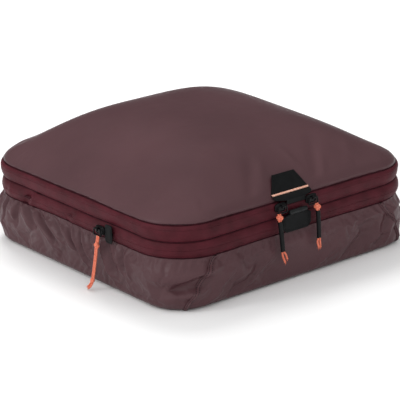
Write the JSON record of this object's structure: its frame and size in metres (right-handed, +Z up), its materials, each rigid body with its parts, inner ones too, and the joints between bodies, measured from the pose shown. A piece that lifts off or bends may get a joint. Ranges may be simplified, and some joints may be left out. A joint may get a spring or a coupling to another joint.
{
  "type": "compression packing cube",
  "caption": "Soft zipped packing cube with a domed hinged lid, an expanding compression ring, two zip bands and three sliders with cord pulls.",
  "frame": {"origin": "centre of the underside of the base", "axes": "+Z up, +X to the cube's right seen from the front; the front with the two pull tabs faces -Y and the compression slider is on the -X side"},
  "size_m": [0.3661, 0.3547, 0.1524],
  "materials": {
    "shell_nylon": "shiny dusty mauve-brown nylon",
    "zip_tape": "matt maroon woven zip tape",
    "zip_coil": "maroon nylon coil",
    "seam_binding": "dark maroon grosgrain binding",
    "tab_fabric": "matt black coated webbing",
    "bartack_thread": "pale salmon thread",
    "slider_metal": "gloss black",
    "pull_sleeve": "black heat-shrunk tube",
    "pull_cord": "salmon-orange braided cord"
  },
  "bodies": {
    "tub": {"base_panel": "shell_nylon", "front_wall": "shell_nylon", "back_wall": "shell_nylon", "left_wall": "shell_nylon", "right_wall": "shell_nylon", "seam_front_left": "shell_nylon", "seam_front_right": "shell_nylon", "seam_back_left": "shell_nylon", "seam_back_right": "shell_nylon", "wall_binding": "seam_binding", "compression_tape_lower": "zip_tape", "compression_coil_lower": "zip_coil", "zip_garage": "tab_fabric", "gusset": "shell_nylon"},
    "ring": {"compression_coil_upper": "zip_coil", "compression_tape_upper": "zip_tape", "middle_binding": "seam_binding", "main_tape_lower": "zip_tape", "main_coil_lower": "zip_coil", "lower_tab": "tab_fabric", "lower_tab_grip": "tab_fabric"},
    "lid": {"main_coil_upper": "zip_coil", "main_tape_upper": "zip_tape", "lid_binding": "seam_binding", "lid_panel": "shell_nylon", "upper_tab": "tab_fabric", "tab_bartack": "bartack_thread"},
    "slider_left": {"main_slider_left": "slider_metal"},
    "pull_left": {"pull_loop_left": "slider_metal", "pull_knot_left": "pull_cord", "pull_sleeve_left": "pull_sleeve", "pull_cord_left_a": "pull_cord", "pull_cord_left_b": "pull_cord"},
    "slider_right": {"main_slider_right": "slider_metal"},
    "pull_right": {"pull_loop_right": "slider_metal", "pull_knot_right": "pull_cord", "pull_sleeve_right": "pull_sleeve", "pull_cord_right_a": "pull_cord", "pull_cord_right_b": "pull_cord"},
    "slider_side": {"compression_slider": "slider_metal"},
    "pull_side": {"pull_loop_side": "slider_metal", "pull_knot_side": "pull_cord", "pull_end_knot_side": "pull_cord", "pull_cord_side_a": "pull_cord", "pull_cord_side_b": "pull_cord"}
  },
  "joints": [
    {"name": "expansion", "type": "slide", "parent": "tub", "child": "ring", "axis": [0, 0, 1], "range_m": [0, 0.045], "deforming": ["gusset"]},
    {"name": "lid_hinge", "type": "hinge", "parent": "ring", "child": "lid", "pos_m": [0, 0.1724, 0.088], "axis": [-1, 0, 0], "range_deg": [0, 180]},
    {"name": "left_zip_travel", "type": "slide", "parent": "ring", "child": "slider_left", "axis": [-1, 0, 0], "range_m": [0, 0.07]},
    {"name": "left_pull_swing", "type": "hinge", "parent": "slider_left", "child": "pull_left", "pos_m": [-0.032, -0.1773, 0.09], "axis": [-1, 0, 0], "range_deg": [0, 150]},
    {"name": "right_zip_travel", "type": "slide", "parent": "ring", "child": "slider_right", "axis": [1, 0, 0], "range_m": [0, 0.09]},
    {"name": "right_pull_swing", "type": "hinge", "parent": "slider_right", "child": "pull_right", "pos_m": [0.011, -0.1773, 0.09], "axis": [-1, 0, 0], "range_deg": [0, 150]},
    {"name": "compression_zip_travel", "type": "slide", "parent": "tub", "child": "slider_side", "axis": [0, 1, 0], "range_m": [0, 0.15]},
    {"name": "side_pull_swing", "type": "hinge", "parent": "slider_side", "child": "pull_side", "pos_m": [-0.1803, -0.053, 0.068], "axis": [0, 1, 0], "range_deg": [0, 150]}
  ]
}
